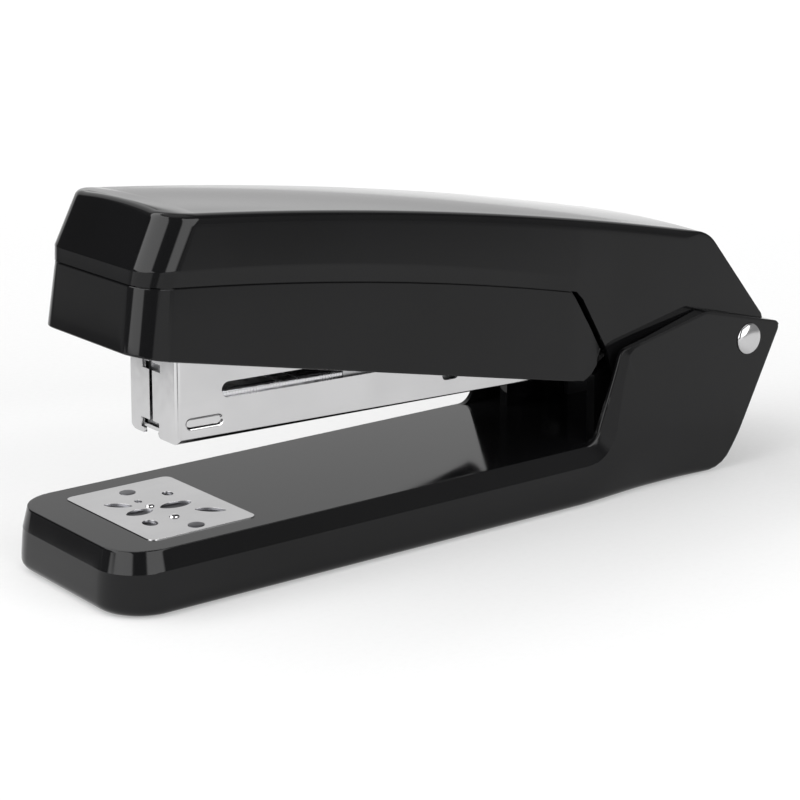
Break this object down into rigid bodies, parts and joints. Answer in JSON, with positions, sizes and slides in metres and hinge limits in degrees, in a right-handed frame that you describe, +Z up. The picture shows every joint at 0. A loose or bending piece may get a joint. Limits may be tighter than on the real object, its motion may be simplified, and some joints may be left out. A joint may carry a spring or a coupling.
{
  "type": "desktop stapler",
  "caption": "Half-strip desktop stapler: base with hinge cheeks and anvil plate, sprung staple magazine, and a two-part handle that presses down to drive a staple and lifts to load.",
  "frame": {"origin": "centre of the footprint on the surface that the stapler stands on, at rest", "axes": "-X towards the nose where staples leave, +X towards the hinge, Y across the width, +Z up"},
  "size_m": [0.1362, 0.039, 0.0599],
  "materials": {
    "black_plastic": "glossy moulded",
    "sole_rubber": "matt",
    "nickel": "bright nickel plate",
    "steel": "satin rolled",
    "dark_steel": "dull",
    "spring_steel": "satin",
    "staple_wire": "galvanised wire",
    "zinc": "zinc plate"
  },
  "bodies": {
    "base": {"base_shell": "black_plastic", "sole_pad": "sole_rubber", "base_stiffener": "steel", "base_screws": "zinc", "anvil_plate": "nickel", "anvil_rivets": "dark_steel", "hinge_pin": "nickel", "hinge_pin_cap": "nickel", "pivot_washers": "zinc", "return_spring": "spring_steel"},
    "magazine": {"magazine_channel": "nickel", "staple_rail": "steel", "rail_rivets": "steel", "rear_stop": "steel", "guide_rod": "steel", "staple_strip": "staple_wire", "pusher_spring": "spring_steel"},
    "pusher": {"pusher": "steel"},
    "handle": {"top_cover": "black_plastic", "lower_housing": "black_plastic", "handle_frame": "steel", "driver_blade": "steel", "driver_rivets": "zinc", "handle_spring": "spring_steel", "handle_spring_rivet": "zinc", "cover_screws": "zinc", "housing_screws": "zinc"}
  },
  "joints": [
    {"name": "magazine_hinge", "type": "hinge", "parent": "base", "child": "magazine", "pos_m": [0.06085, 0, 0.0236], "axis": [0, 1, 0], "range_deg": [-5.8, 0], "stiffness_Nm_per_rad": 0.6, "springref_deg": 14.32, "deforming": ["return_spring"]},
    {"name": "handle_hinge", "type": "hinge", "parent": "magazine", "child": "handle", "pos_m": [0.06085, 0, 0.0236], "axis": [0, 1, 0], "range_deg": [-4.4, 60], "stiffness_Nm_per_rad": 0.9, "springref_deg": 2.13, "deforming": ["handle_spring"]},
    {"name": "pusher_slide", "type": "slide", "parent": "magazine", "child": "pusher", "axis": [0.9997, 0, -0.0262], "range_m": [0, 0.019], "stiffness_N_per_m": 50, "springref_m": -0.04, "deforming": ["pusher_spring"]}
  ]
}
